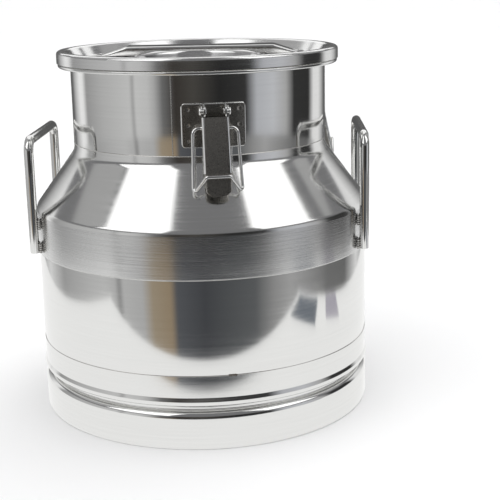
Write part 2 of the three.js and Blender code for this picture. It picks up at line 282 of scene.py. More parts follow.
def bent_path(corners, bends, steps=10):
    """Points along straight runs that are joined by arcs, of one radius for each inner corner."""
    points = [corners[0]]
    for before, at, after, bend in zip(corners, corners[1:], corners[2:], bends):
        back = (before - at).normalized()
        ahead = (after - at).normalized()
        half = back.angle(ahead) / 2
        middle = at + (back + ahead).normalized() * bend / math.sin(half)
        spoke = at + back * bend / math.tan(half) - middle
        axis = back.cross(ahead).normalized()
        for step in range(steps + 1):
            turn = Matrix.Rotation(-(math.pi - 2 * half) * step / steps, 3, axis)
            points.append(middle + turn @ spoke)
    points.append(corners[-1])
    return points


def domed(points, radius, dome=0.8):
    """The path with its ends drawn in, so that a rod's cut ends are rounded, and the radii."""
    radii = [radius] * len(points)
    for first, second in ((0, 1), (-1, -2)):
        step = (points[second] - points[first]).normalized() * dome
        extra = [points[first], points[first] + step * 0.3, points[first] + step]
        sizes = [radius - dome, radius - dome * 0.3, radius]
        if first == 0:
            points = extra + points[1:]
            radii = sizes + radii[1:]
        else:
            points = points[:-1] + extra[::-1]
            radii = radii[:-1] + sizes[::-1]
    return points, radii


def bead(path, radius, ripple=0.12, pitch=1.4):
    """A weld bead: a tube with closed round ends and the ripple that a torch leaves."""
    count = len(path)
    length = sum((b - a).length for a, b in zip(path, path[1:]))
    radii = []
    for i in range(count):
        along = length * i / (count - 1)
        from_end = min(along, length - along) / radius
        cap = math.sqrt(max(0.02, 1 - (1 - min(1, from_end)) ** 2))
        radii.append(radius * cap * (1 + ripple * math.sin(2 * math.pi * along / pitch)))
    return sweep(path, radii, sides=12)


def merge(*parts):
    """One mesh of several."""
    whole = bmesh.new()
    for part in parts:
        mesh = bpy.data.meshes.new("part")
        part.to_mesh(mesh)
        part.free()
        whole.from_mesh(mesh)
        bpy.data.meshes.remove(mesh)
    return whole


def drawn_in(loop, distance):
    """A closed outline moved inwards, whichever way it runs."""
    area = sum(a.cross(b) for a, b in zip(loop, loop[1:] + loop[:1]))
    turned = loop if area > 0 else loop[::-1]
    wrapped = offset_left([turned[-1], *turned, turned[0]], distance)[1:-1]
    return wrapped if area > 0 else wrapped[::-1]


def circle(centre, radius, steps=24):
    """Points round a circle."""
    angles = [2 * math.pi * k / steps for k in range(steps)]
    return [Vector(centre) + radius * Vector((math.cos(a), math.sin(a))) for a in angles]


def plate(outline, thickness, place, holes=(), edge=0.3):
    """A flat plate with softened edges and round holes, each a centre and a radius.

    place turns an outline point and a height into a vector.
    """
    bm = bmesh.new()
    caps = [[], []]
    levels = ((0, edge), (edge * 0.3, edge * 0.3), (edge, 0), (thickness - edge, 0))
    levels += ((thickness - edge * 0.3, edge * 0.3), (thickness, edge))
    for k in range(len(holes) + 1):
        rings = []
        for height, drawn in levels:
            if k == 0:
                line = drawn_in(outline, drawn) if drawn else outline
            else:
                line = circle(holes[k - 1][0], holes[k - 1][1] + drawn)
            rings.append([bm.verts.new((*point, height)) for point in line])
        for lower, upper in zip(rings, rings[1:]):
            for i in range(len(lower)):
                j = (i + 1) % len(lower)
                bm.faces.new((lower[i], lower[j], upper[j], upper[i]))
        for cap, ring in zip(caps, (rings[0], rings[-1])):
            cap += [bm.edges.get(pair) for pair in zip(ring, ring[1:] + ring[:1])]
    for cap in caps:
        bmesh.ops.triangle_fill(bm, edges=cap, use_beauty=True)
    for vert in bm.verts:
        vert.co = place(vert.co.x, vert.co.y, vert.co.z)
    return bm


def upright_at(x):
    """A place for plate(): its outline is outwards and up, and its thickness runs across from x."""
    return lambda outward, up, depth: Vector((x + depth, -outward, up))


def smooth(share):
    """Eases a share from 0 to 1, with no change of slope at the ends."""
    share = min(1, max(0, share))
    return share * share * (3 - 2 * share)


def sheet_grid(rows, thickness):
    """A sheet through rows of points, thickened to the side away from its normals."""
    bm = bmesh.new()
    grid = [[bm.verts.new(point) for point in row] for row in rows]
    for lower, upper in zip(grid, grid[1:]):
        for i in range(len(lower) - 1):
            bm.faces.new((lower[i], lower[i + 1], upper[i + 1], upper[i]))
    bm.normal_update()
    inner = [[bm.verts.new(v.co - v.normal * thickness) for v in row] for row in grid]
    for lower, upper in zip(inner, inner[1:]):
        for i in range(len(lower) - 1):
            bm.faces.new((lower[i], upper[i], upper[i + 1], lower[i + 1]))
    outline = grid[0] + [r[-1] for r in grid[1:]] + grid[-1][-2::-1] + [r[0] for r in grid[-2:0:-1]]
    under = inner[0] + [r[-1] for r in inner[1:]] + inner[-1][-2::-1] + [r[0] for r in inner[-2:0:-1]]
    for i in range(len(outline)):
        j = (i + 1) % len(outline)
        bm.faces.new((outline[i], under[i], under[j], outline[j]))
    return bm


# ---- materials ----
NOISE_LOW = 0.3  # a noise texture seldom leaves this range
NOISE_HIGH = 0.7


def new_material(name):
    """A node material, with its nodes, its links and its shader."""
    material = bpy.data.materials.new(name)
    material.use_nodes = True
    nodes = material.node_tree.nodes
    return material, nodes, material.node_tree.links, nodes["Principled BSDF"]


def link_math(nodes, links, operation, a, b):
    """A math node on two inputs, each a socket or a number."""
    node = nodes.new("ShaderNodeMath")
    node.operation = operation
    for socket, value in zip(node.inputs, (a, b)):
        if isinstance(value, (int, float)):
            socket.default_value = value
        else:
            links.new(value, socket)
    return node.outputs[0]


def steel(name, tone, rough, spread, grain, lines, bump, anisotropic=0.0, along=None):
    """Stainless steel. Brush lines run round the Z axis, or along the axis named by along.

    tone is the colour, rough the mean roughness and spread how far the lines vary it; grain is the
    lines per millimetre across the brushing, lines how far they vary the tone, bump their depth.
    An along that names no axis gives an even mottle instead of lines.
    """
    material, nodes, links, shader = new_material(name)
    coordinates = nodes.new("ShaderNodeTexCoord")
    split = nodes.new("ShaderNodeSeparateXYZ")
    links.new(coordinates.outputs["Object"], split.inputs[0])
    x, y, z = split.outputs
    join = nodes.new("ShaderNodeCombineXYZ")
    fine = grain / MM
    lengthwise = 9.0  # noise cells per metre along the brushing
    if along is None:
        flat = nodes.new("ShaderNodeCombineXYZ")
        links.new(x, flat.inputs[0])
        links.new(y, flat.inputs[1])
        radius = nodes.new("ShaderNodeVectorMath")
        radius.operation = "LENGTH"
        links.new(flat.outputs[0], radius.inputs[0])
        across = link_math(nodes, links, "SUBTRACT", z, radius.outputs["Value"])
        links.new(link_math(nodes, links, "MULTIPLY", x, lengthwise), join.inputs[0])
        links.new(link_math(nodes, links, "MULTIPLY", y, lengthwise), join.inputs[1])
        links.new(link_math(nodes, links, "MULTIPLY", across, fine), join.inputs[2])
    else:
        for i, (axis, socket) in enumerate(zip("XYZ", (x, y, z))):
            scale = fine * 0.02 if axis == along else fine
            links.new(link_math(nodes, links, "MULTIPLY", socket, scale), join.inputs[i])
    noise = nodes.new("ShaderNodeTexNoise")
    noise.inputs["Scale"].default_value = 1.0
    noise.inputs["Detail"].default_value = 4.0
    noise.inputs["Roughness"].default_value = 0.65
    links.new(join.outputs[0], noise.inputs["Vector"])
    smear = nodes.new("ShaderNodeTexNoise")
    smear.inputs["Scale"].default_value = 14.0
    smear.inputs["Detail"].default_value = 3.0
    links.new(coordinates.outputs["Object"], smear.inputs["Vector"])
    roughness = nodes.new("ShaderNodeMapRange")
    roughness.inputs["From Min"].default_value = NOISE_LOW
    roughness.inputs["From Max"].default_value = NOISE_HIGH
    roughness.inputs["To Min"].default_value = max(0.02, rough - spread)
    roughness.inputs["To Max"].default_value = rough + spread
    links.new(noise.outputs["Fac"], roughness.inputs["Value"])
    centred = link_math(nodes, links, "SUBTRACT", smear.outputs["Fac"], 0.5)
    worn = link_math(nodes, links, "MULTIPLY", centred, rough * 0.5)
    links.new(link_math(nodes, links, "ADD", roughness.outputs[0], worn), shader.inputs["Roughness"])
    colour = nodes.new("ShaderNodeValToRGB")
    colour.color_ramp.elements[0].position = NOISE_LOW
    colour.color_ramp.elements[1].position = NOISE_HIGH
    colour.color_ramp.elements[0].color = (*[c * (1 - lines) for c in tone], 1)
    colour.color_ramp.elements[1].color = (*[min(1, c * (1 + lines)) for c in tone], 1)
    links.new(noise.outputs["Fac"], colour.inputs["Fac"])
    links.new(colour.outputs["Color"], shader.inputs["Base Color"])
    relief = nodes.new("ShaderNodeBump")
    relief.inputs["Strength"].default_value = bump
    relief.inputs["Distance"].default_value = 0.05 * MM
    links.new(noise.outputs["Fac"], relief.inputs["Height"])
    links.new(relief.outputs["Normal"], shader.inputs["Normal"])
    shader.inputs["Metallic"].default_value = 1.0
    shader.inputs["Anisotropic"].default_value = anisotropic
    shader.inputs["Anisotropic Rotation"].default_value = 0.25
    if anisotropic:
        tangent = nodes.new("ShaderNodeTangent")
        tangent.direction_type = "RADIAL"
        tangent.axis = "Z"
        links.new(tangent.outputs[0], shader.inputs["Tangent"])
    return material


def rubber(name, tone, rough):
    """Moulded silicone with a faint mottle."""
    material, nodes, links, shader = new_material(name)
    coordinates = nodes.new("ShaderNodeTexCoord")
    noise = nodes.new("ShaderNodeTexNoise")
    noise.inputs["Scale"].default_value = 180.0
    noise.inputs["Detail"].default_value = 5.0
    links.new(coordinates.outputs["Object"], noise.inputs["Vector"])
    colour = nodes.new("ShaderNodeValToRGB")
    colour.color_ramp.elements[0].color = (*[c * 0.9 for c in tone], 1)
    colour.color_ramp.elements[1].color = (*tone, 1)
    links.new(noise.outputs["Fac"], colour.inputs["Fac"])
    links.new(colour.outputs["Color"], shader.inputs["Base Color"])
    relief = nodes.new("ShaderNodeBump")
    relief.inputs["Strength"].default_value = 0.15
    relief.inputs["Distance"].default_value = 0.2 * MM
    links.new(noise.outputs["Fac"], relief.inputs["Height"])
    links.new(relief.outputs["Normal"], shader.inputs["Normal"])
    shader.inputs["Roughness"].default_value = rough
    return material


# Each steel: name, tone, roughness, its spread, lines per mm, tone of the lines, their depth and
# how far the brushing draws out reflections.
MATERIALS = {
    "polished_steel": steel("polished_steel", (0.78, 0.78, 0.77), 0.085, 0.02, 0.45, 0.02, 0.05, 0.8),
    "brushed_steel": steel("brushed_steel", (0.76, 0.76, 0.755), 0.17, 0.05, 0.8, 0.04, 0.12, 0.75),
    "rod_steel": steel("rod_steel", (0.76, 0.76, 0.75), 0.1, 0.03, 0.5, 0.03, 0.05, 0.0, along="Z"),
    "latch_steel": steel("latch_steel", (0.40, 0.385, 0.36), 0.3, 0.09, 1.2, 0.16, 0.45, 0.0, along="none"),
    "wire_steel": steel("wire_steel", (0.93, 0.93, 0.92), 0.09, 0.03, 0.7, 0.03, 0.05, 0.0, along="X"),
    "silicone": rubber("silicone", (0.72, 0.71, 0.67), 0.5),
}
BAND_STEEL = steel("band_steel", (0.70, 0.70, 0.695), 0.24, 0.06, 1.3, 0.09, 0.3, 0.85)
CONE_STEEL = steel("cone_steel", (0.78, 0.78, 0.77), 0.14, 0.03, 0.5, 0.03, 0.05, 0.3)
WELD_STEEL = steel("weld_steel", (0.62, 0.61, 0.59), 0.25, 0.08, 0.9, 0.10, 0.3)
OXIDE_STEEL = steel("oxide_steel", (0.16, 0.14, 0.12), 0.4, 0.1, 0.9, 0.15, 0.3)


def paint(piece, material):
    """Gives the piece this material instead of its slot's."""
    piece.data.materials[0] = material


# ---- can ----
def ring_point(azimuth, radius, z):
    """A point at an azimuth in degrees from -Y towards +X."""
    a = math.radians(azimuth)
    return Vector((radius * math.sin(a), -radius * math.cos(a), z))


def add_shell(name, corners, node, slot="polished_steel", to_axis=False):
    """A turned sheet of the can, which stands for one node."""
    return add_piece(name, revolve(sheet_outline(corners, SHEET, to_axis)), "can", slot, [node])


def make_can():
    """The welded shells of the can, from the foot ring to the bead round the mouth."""
    foot = [
        (FOOT_INSIDE, 0),
        (FOOT_RADIUS, 0, 3),
        (FOOT_RADIUS, FOOT_SHOULDER, 6.5),
        (GROOVE_RADIUS, FOOT_SHOULDER, 1.2),
        (GROOVE_RADIUS, FOOT_TOP),
    ]
    add_shell("foot_ring_shell", foot, "foot_ring")
    cup = [
        (0, CUP_BOTTOM),
        (CUP_RADIUS, CUP_BOTTOM, 3),
        (CUP_RADIUS, CUP_BEAD_TOP, 2),
        (BODY_RADIUS, CUP_WALL, 2),
        (BODY_RADIUS, SEAM_HEIGHT - SEAM_GAP),
    ]
    add_shell("bottom_cup_shell", cup, "bottom_cup", to_axis=True)
    tucked = BAND_RADIUS - SHEET - 0.6
    body = [
        (BODY_RADIUS, SEAM_HEIGHT + SEAM_GAP),
        (BODY_RADIUS, LAP_HEIGHT - 0.9, 0.4),
        (tucked, LAP_HEIGHT + 0.4, 0.4),
        (tucked, LAP_HEIGHT + 10),
    ]
    add_shell("body_wall", body, "body_shell")
    make_shoulder()
    neck = [(NECK_RADIUS, NECK_SEAM_HEIGHT + SEAM_GAP), (NECK_RADIUS, NECK_TOP)]
    add_shell("neck_wall", neck, "neck_shell")
    inside = NECK_RADIUS - SHEET
    mouth = rounded([
        (inside, MOUTH_BOTTOM, 0.4),
        (MOUTH_RADIUS, MOUTH_BOTTOM, 1.7),
        (MOUTH_RADIUS, MOUTH_TOP, 1.7),
        (inside, MOUTH_TOP, 0.4),
    ], True)
    add_piece("mouth_bead", revolve(mouth), "can", "polished_steel", ["mouth_ring"])


def make_shoulder():
    """The cone and, under it, the band of coarser brushing that laps over the body."""
    shoulder = [
        (BAND_RADIUS, LAP_HEIGHT),
        (BAND_RADIUS, BAND_TOP, 10),
        (NECK_RADIUS, CONE_TOP, 15),
        (NECK_RADIUS, NECK_SEAM_HEIGHT - SEAM_GAP),
    ]
    cone = add_shell("shoulder_cone", shoulder, "shoulder_shell", "brushed_steel")
    paint(cone, CONE_STEEL)
    cone.data.materials.append(BAND_STEEL)
    for face in cone.data.polygons:
        on_band = face.center.z < (BAND_TOP - 2.8) * MM
        outside = math.hypot(face.center.x, face.center.y) > (BAND_RADIUS - 0.5) * MM
        if on_band and outside:
            face.material_index = 1


def make_welds():
    """The seams that the shells are welded along, the neck's upright seam, and a dark tack."""
    seams = {"body_seam": (BODY_RADIUS, SEAM_HEIGHT), "neck_seam": (NECK_RADIUS, NECK_SEAM_HEIGHT)}
    steps = 720
    for name, (radius, height) in seams.items():
        points = [ring_point(360 * i / steps, radius - 0.2, height) for i in range(steps)]
        radii = [0.5 + 0.05 * math.sin(i * 2.1) for i in range(steps)]
        seam = add_piece(name, sweep(points, radii, 8, closed=True), "can", "polished_steel")
        paint(seam, WELD_STEEL)
    low = NECK_SEAM_HEIGHT + 0.6
    high = NECK_TOP - 0.4
    heights = [low + (high - low) * i / 200 for i in range(201)]
    upright = [ring_point(UPRIGHT_SEAM, NECK_RADIUS - 0.25, height) for height in heights]
    seam = add_piece("neck_upright_seam", bead(upright, 0.5, 0.1, 1.2), "can", "polished_steel")
    paint(seam, WELD_STEEL)
    start, end = SEAM_TACK
    azimuths = [start + (end - start) * i / 40 for i in range(41)]
    mark = [ring_point(azimuth, BODY_RADIUS + 0.05, SEAM_HEIGHT) for azimuth in azimuths]
    tack = add_piece("seam_tack", bead(mark, 0.8, 0.2, 1.5), "can", "polished_steel")
    paint(tack, OXIDE_STEEL)


# ---- lid ----
def make_lid():
    """The lid: a rim, the groove that the hooks go over, a flat and a dish, with the seal under it."""
    shell = [
        (RIM_RADIUS, RIM_BOTTOM),
        (RIM_RADIUS, RIM_TOP, 3.2),
        (RIM_INSIDE, RIM_TOP, 3),
        (HOOK_OUTSIDE, HOOK_GROOVE, 3),
        (HOOK_INSIDE, HOOK_GROOVE, 3),
        (FLAT_OUTSIDE, FLAT_HEIGHT, 3),
        (DISH_RADIUS, FLAT_HEIGHT, 4),
        (DISH_FLOOR_RADIUS, DISH_FLOOR, 8),
        (0, DISH_FLOOR),
    ]
    pan = revolve(sheet_outline(shell, LID_SHEET, True))
    add_piece("lid_pan", pan, "lid", "brushed_steel", ["lid_shell"])
    seal = rounded([
        (SEAL_INSIDE, SEAL_BOTTOM, 0.8),
        (SEAL_OUTSIDE, SEAL_BOTTOM, 0.8),
        (SEAL_OUTSIDE, SEAL_TOP, 0.8),
        (SEAL_INSIDE_TOP, SEAL_TOP, 0.8),
    ], True)
    add_piece("lid_seal", revolve(seal), "lid", "silicone", ["lid_gasket"])
    make_lid_strap()


def strap_row(x, top, low):
    """One section across the strap: a skirt, a rolled edge, the flat top, and the same again."""
    curl = min(2.2, 0.8 * (top - low))
    row = [(x, -STRAP_HALF_WIDTH, low)]
    for k in range(7):
        a = math.pi / 2 * k / 6
        row.append((x, -STRAP_HALF_WIDTH + curl * (1 - math.cos(a)), top - curl + curl * math.sin(a)))
    flat = STRAP_HALF_WIDTH - curl
    row += [(x, -flat + 2 * flat * k / 8, top) for k in range(1, 8)]
    row += [(x, -y, z) for x, y, z in row[7:0:-1]]
    row.append((x, STRAP_HALF_WIDTH, low))
    return [Vector(point) for point in row]


def make_lid_strap():
    """A bridge of bent sheet over the dish, with skirts that are shallow where the hand goes."""
    top = rounded([
        (STRAP_HALF_LENGTH, STRAP_FOOT),
        (STRAP_HALF_SLOPE, STRAP_FOOT, 3),
        (STRAP_HALF_TOP, STRAP_TOP, 5),
        (-STRAP_HALF_TOP, STRAP_TOP, 5),
        (-STRAP_HALF_SLOPE, STRAP_FOOT, 3),
        (-STRAP_HALF_LENGTH, STRAP_FOOT),
    ])
    stations = []
    for a, b in zip(top, top[1:]):
        pieces = max(1, round((b - a).length / 4))
        stations += [a.lerp(b, i / pieces) for i in range(pieces)]
    stations.append(top[-1])
    rows = []
    for point in stations:
        reach = abs(point.x)
        if reach < STRAP_HALF_SLOPE:
            deep = smooth((reach - 40) / 22)
            skirt = STRAP_GRIP_SKIRT + (STRAP_END_SKIRT - STRAP_GRIP_SKIRT) * deep
            low = min(point.y - 1.9, skirt)
        else:
            low = point.y - 1.4
        rows.append(strap_row(point.x, point.y, max(low, STRAP_LOWEST)))
    strap = sheet_grid(rows, LID_SHEET)
    place = Matrix.Translation((STRAP_OFFSET * MM, 0, 0))
    add_piece("lid_handle_strap", strap, "lid", "polished_steel", ["lid_handle"], place, sharp=50)


# ---- side handles ----
def make_side_handle(side, turn):
    """A bent rod welded to the band by its legs, drawn on the right and turned to its side."""
    corners = []
    for end, height in ((-1, HANDLE_FOOT), (-1, HANDLE_TOP), (1, HANDLE_TOP), (1, HANDLE_FOOT)):
        corners.append(Vector((HANDLE_REACH, end * HANDLE_HALF_SPAN, height)))
    rod = sweep(*domed(bent_path(corners, (HANDLE_BEND, HANDLE_BEND), 14), ROD_RADIUS), sides=28)
    place = Matrix.Rotation(turn, 4, "Z")
    add_piece(f"side_handle_{side}_rod", rod, "can", "rod_steel", [f"side_handle_{side}"], place)
    welds = []
    for end in (-1, 1):
        leg = end * math.atan2(HANDLE_HALF_SPAN, HANDLE_REACH)
        for edge in (-1, 1):
            a = leg + edge * WELD_HALF_ANGLE
            for height in WELD_HEIGHTS:
                points = []
                for i in range(25):
                    z = height - WELD_LENGTH / 2 + WELD_LENGTH * i / 24
                    points.append(Vector((WELD_REACH * math.cos(a), WELD_REACH * math.sin(a), z)))
                welds.append(bead(points, 1.5, 0.12, 2.1))
    beads = add_piece(f"side_handle_{side}_welds", merge(*welds), "can", "rod_steel", (), place)
    paint(beads, WELD_STEEL)


# ---- latches ----
def plate_sheet():
    """The base plate itself: rows of points on a cylinder, with rounded corners and dimples."""
    height = PLATE_TOP - PLATE_BOTTOM
    border = [0, 0.25, 0.55, PLATE_EDGE]
    levels = border + [PLATE_EDGE + (height - 2 * PLATE_EDGE) * j / 48 for j in range(1, 48)]
    levels += [height - b for b in border[::-1]]
    shares = [b / PLATE_WIDTH for b in border]
    shares += [0.016 + 0.968 * i / 68 for i in range(1, 68)] + [1 - b for b in shares[::-1]]
    dimples = [(side * DIMPLE_HALF_SPAN, z) for side in (-1, 1) for z in DIMPLE_HEIGHTS]
    rows = []
    for level in levels:
        z = PLATE_BOTTOM + level
        cut = max(0, PLATE_CORNER - min(z - PLATE_BOTTOM, PLATE_TOP - z))
        half = PLATE_WIDTH / 2 - PLATE_CORNER + math.sqrt(max(0, PLATE_CORNER**2 - cut * cut))
        row = []
        for share in shares:
            x = -half + 2 * half * share
            sunk = 0
            for a, b in dimples:
                away = math.hypot(x - a, z - b)
                sunk += DIMPLE_DEPTH * math.exp(-(away**2) / 1.6)
                sunk -= DIMPLE_LIP * math.exp(-((away - DIMPLE_RADIUS) ** 2) / 0.3)
            from_edge = min(1, min(half - abs(x), level, height - level) / PLATE_EDGE)
            radius = PLATE_RADIUS - DIMPLE_LIP - sunk - 0.7 * (1 - from_edge) ** 2
            row.append(Vector((x, -math.sqrt(radius * radius - x * x), z)))
        rows.append(row)
    sheet = sheet_grid(rows, PLATE_SHEET)
    # Faces of the rounded border take material 1, the bright wire steel: partly worn polish, partly a
    # painted highlight.
    for face in sheet.faces:
        middle = face.calc_center_median()
        from_edge = min(PLATE_WIDTH / 2 - abs(middle.x), middle.z - PLATE_BOTTOM, PLATE_TOP - middle.z)
        face.material_index = 1 if from_edge < PLATE_EDGE else 0
    return sheet


def latch_plate(turn, name):
    """Base plate rolled to the neck, with six spot-weld dimples and two ears for the pin."""
    root = PLATE_RADIUS - PLATE_SHEET
    ear_line = rounded([
        (root, PIVOT_HEIGHT - 6.5),
        (PIVOT_RADIUS - 3, PIVOT_HEIGHT - 6.5, 2),
        (PIVOT_RADIUS + 4.5, PIVOT_HEIGHT - 4, 4),
        (PIVOT_RADIUS + 4.5, PIVOT_HEIGHT + 4, 4),
        (PIVOT_RADIUS - 3, PLATE_TOP, 2),
        (root, PLATE_TOP),
    ], True)
    hole = ((PIVOT_RADIUS, PIVOT_HEIGHT), PIN_HOLE)
    ears = []
    for x in (EAR_INSIDE, -EAR_INSIDE - EAR_SHEET):
        ears.append(plate(ear_line, EAR_SHEET, upright_at(x), [hole]))
    # The ears take the bright wire steel too: partly polish, partly a painted highlight on their bends.
    for ear in ears:
        for face in ear.faces:
            face.material_index = 1
    base = merge(plate_sheet(), *ears)
    piece = add_piece(f"latch_{name}_base", base, "can", "latch_steel", [f"latch_{name}_plate"], turn)
    # Material 1 is bright steel for the border and the ears: partly polish, partly a painted highlight.
    piece.data.materials.append(MATERIALS["wire_steel"])


def latch_rivets(place, name):
    """A rivet through each ear and cheek, with a domed head outside and a flat one inside."""
    inner_head = [(0, 7.4), (2.4, 7.4), (2.7, 7.7), (2.7, 8.3), (2, 8.4)]  # radius, across
    outer_head = [(2, 12.7), (3.4, 12.7), (3.3, 13.4), (2.7, 14.0), (1.6, 14.3), (0, 14.3)]
    rivets = []
    for side in (-1, 1):
        bm = revolve(inner_head + outer_head, 32)
        turn = Matrix.Rotation(side * math.pi / 2, 3, "Y")
        bmesh.ops.rotate(bm, cent=(0, 0, 0), matrix=turn, verts=bm.verts)
        rivets.append(bm)
    add_piece(f"latch_{name}_rivets", merge(*rivets), "can", "wire_steel", [f"latch_{name}_pin"], place)


def lever_section(s):
    """Half width and edge radius of the lever's face, at a distance s from the pin."""
    if s <= CHANNEL_END:
        half = LEVER_HALF - LEVER_TAPER * (CHANNEL_END - s)
        curl = CHANNEL_CURL
    else:
        share = min(1, (s - CHANNEL_END) / (TONGUE_START - CHANNEL_END))
        half = LEVER_HALF - (LEVER_HALF - TONGUE_HALF) * smooth(share)
        curl = CHANNEL_CURL * (1 - share) + TONGUE_CURL * share
    if s > TIP_START:
        half = max(3, half * math.sqrt(max(0, 1 - ((s - TIP_START) / 5.6) ** 2)))
    return half, curl


def lever_face():
    """The lever's outer face, with rolled edges on the channel and a plain tongue."""
    marks = [LEVER_START + (CHANNEL_END - LEVER_START) * i / 24 for i in range(25)]
    marks += [55, 56, TONGUE_START, 58.5]
    marks += [60 + (LEVER_LENGTH - 60) * i / 18 for i in range(19)]
    rows = []
    for s in marks:
        half, curl = lever_section(s)
        row = []
        for k in range(7):
            a = math.pi / 2 * k / 6
            row.append((-half + curl * (1 - math.cos(a)), LEVER_FACE - curl + curl * math.sin(a)))
        flat = half - curl
        row += [(-flat + 2 * flat * k / 8, LEVER_FACE) for k in range(1, 8)]
        row += [(-x, outward) for x, outward in row[6::-1]]
        rows.append([Vector((x, -outward, -s)) for x, outward in row])
    face = sheet_grid(rows[::-1], LEVER_SHEET)
    # The rolled edges of the channel take material 1, the bright wire steel: partly worn polish, partly a
    # painted highlight.
    for quad in face.faces:
        middle = quad.calc_center_median()
        if middle.z > -CHANNEL_END and abs(middle.x) > 9.9:
            quad.material_index = 1
    return face


def latch_lever(place, name):
    """Pressed channel: a face with rolled edges, cheeks beside the ears, and a plain tongue."""
    cheek_line = rounded([
        (1.2, -5.4),
        (2.4, 5.5, 4),
        (-6.6, 5.5, 4.5),
        (-12.2, -19, 5),
        (-2, -25, 6),
        (0.4, -37, 8),
        (0.4, -53.8),
        (1.0, -53.8),
    ], True)
    holes = [((0, 0), PIN_HOLE), ((BAIL_OUTWARD, -BAIL_DROP), WIRE_RADIUS + 0.35)]
    cheeks = []
    for x in (CHEEK_INSIDE, -CHEEK_INSIDE - LEVER_SHEET):
        cheeks.append(plate(cheek_line, LEVER_SHEET, upright_at(x), holes))
    # The cheeks take the bright wire steel as well: partly polish, partly a painted highlight on their
    # edges.
    for cheek in cheeks:
        for quad in cheek.faces:
            quad.material_index = 1
    channel = merge(lever_face(), *cheeks)
    node = f"latch_{name}_lever"
    piece = add_piece(f"latch_{name}_channel", channel, f"lever_{name}", "latch_steel", [node], place)
    # Material 1 is bright steel for the rolled edges and the cheeks: partly worn polish, partly a painted
    # highlight.
    piece.data.materials.append(MATERIALS["wire_steel"])


def latch_bail(place, name):
    """Bent wire with its lower end folded up into the hook."""
    half = [(9, 0, 0), (19.8, 0, 0), (21.9, 0, -58), (10.6, 10, -43.3)]  # across, outwards, up
    corners = [Vector((x, -outward, z)) for x, outward, z in half]
    corners += [Vector((-v.x, v.y, v.z)) for v in corners[::-1]]
    path = bent_path(corners, (5.5, 2.6, 2.6, 2.6, 2.6, 5.5), 8)
    wire = sweep(*domed(path, WIRE_RADIUS, 0.4), sides=16)
    add_piece(f"latch_{name}_wire", wire, f"bail_{name}", "wire_steel", [f"latch_{name}_bail"], place)


def make_latches():
    """The three latches, each with its lever hanging from the pin and its bail along the lever."""
    for name, azimuth in LATCH_AZIMUTHS.items():
        turn = Matrix.Rotation(math.radians(azimuth), 4, "Z")
        pivot = turn @ Matrix.Translation((0, -PIVOT_RADIUS * MM, PIVOT_HEIGHT * MM))
        hanging = pivot @ Matrix.Rotation(-REST_TILT, 4, "X")
        latch_plate(turn, name)
        latch_rivets(pivot, name)
        latch_lever(hanging, name)
        latch_bail(hanging @ Matrix.Translation((0, -BAIL_OUTWARD * MM, -BAIL_DROP * MM)), name)


# ---- camera and studio, in metres ----
CAMERA_AZIMUTH = math.radians(3.9)  # from -Y towards +X; the studio is turned with the camera
CAMERA_PLACE = (0, -1.132, 0.426)
CAMERA_TURN = math.radians(1.52)
CAMERA_DOWN = math.radians(13.92)
CAMERA_ROLL = math.radians(-1.172)
CAMERA_LENS = 82.75  # millimetres, on a sensor 36 wide
STUDIO = Matrix.Rotation(CAMERA_AZIMUTH, 4, "Z")
FLOOR_HALF = 30
ROOM_RADIUS = 1.7
ROOM_BOTTOM = -1.6
ROOM_SPLIT = -0.11  # height where the low wall ends and the high one starts
ROOM_TOP = 0.75
SKY_RADIUS = 2.2
SKY_CENTRE = 0.2  # height
BACKDROP_RADIUS = 28

# Tones of the room by degrees from the front, as a grey or as red, green and blue. The body and
# the band mirror the low wall. The neck, the lid and the latches mirror the high one.
LOW_ROOM = [
    (-180, 0.10), (-150, 0.16), (-128, 0.75), (-108, 0.38), (-80, 0.52), (-69, 0.56),
    (-60, 0.50), (-57, 0.28), (-54, 0.52), (-41, 0.47), (-34, 0.36, 0.30, 0.22),
    (-22, 0.32, 0.25, 0.17), (-18, 0.10, 0.105, 0.115), (0, 0.065, 0.068, 0.075),
    (18, 0.095, 0.10, 0.105), (33, 0.12, 0.125, 0.13), (46, 0.30), (58, 0.40), (72, 0.30),
    (90, 0.18), (110, 0.16), (128, 0.75), (150, 0.16), (180, 0.10),
]
HIGH_ROOM = [
    (-180, 0.10), (-150, 0.14), (-128, 0.95), (-122, 0.90), (-115, 0.36), (-92, 0.50),
    (-61, 0.62), (-58, 0.40), (-55, 0.64), (-44, 0.60), (-38, 0.46), (-31, 0.17),
    (-20, 0.045, 0.04, 0.036), (-5, 0.07, 0.066, 0.06), (17, 0.024), (40, 0.04),
    (50, 0.50, 0.51, 0.54), (66, 0.58, 0.59, 0.62), (80, 0.45), (90, 0.04), (112, 0.035),
    (121, 0.85), (132, 0.85), (150, 0.14), (180, 0.10),
]


def make_camera():
    """The camera at the photo's angle: in front, looking down on the can at about 14 degrees."""
    data = bpy.data.cameras.new("camera")
    data.lens = CAMERA_LENS
    data.sensor_width = 36
    camera = bpy.data.objects.new("camera", data)
    bpy.context.scene.collection.objects.link(camera)
    place = STUDIO @ Matrix.Translation(CAMERA_PLACE)
    aim = (
        Matrix.Rotation(CAMERA_TURN, 4, "Z")
        @ Matrix.Rotation(math.pi / 2 - CAMERA_DOWN, 4, "X")
        @ Matrix.Rotation(CAMERA_ROLL, 4, "Z")
    )
    camera.matrix_world = Matrix.Translation(place.translation) @ aim
    bpy.context.scene.camera = camera


def stage_mesh(name, verts, faces, material, seen_by_camera=False):
    """A stage object. Unless the camera sees it, it is a card that only reflections show."""
    mesh = bpy.data.meshes.new(name)
    mesh.from_pydata([STUDIO @ Vector(v) for v in verts], [], faces)
    mesh.materials.append(material)
    card = bpy.data.objects.new(name, mesh)
    bpy.context.scene.collection.objects.link(card)
    card.visible_camera = seen_by_camera
    if not seen_by_camera:
        card.visible_diffuse = False
        card.visible_shadow = False
    return card


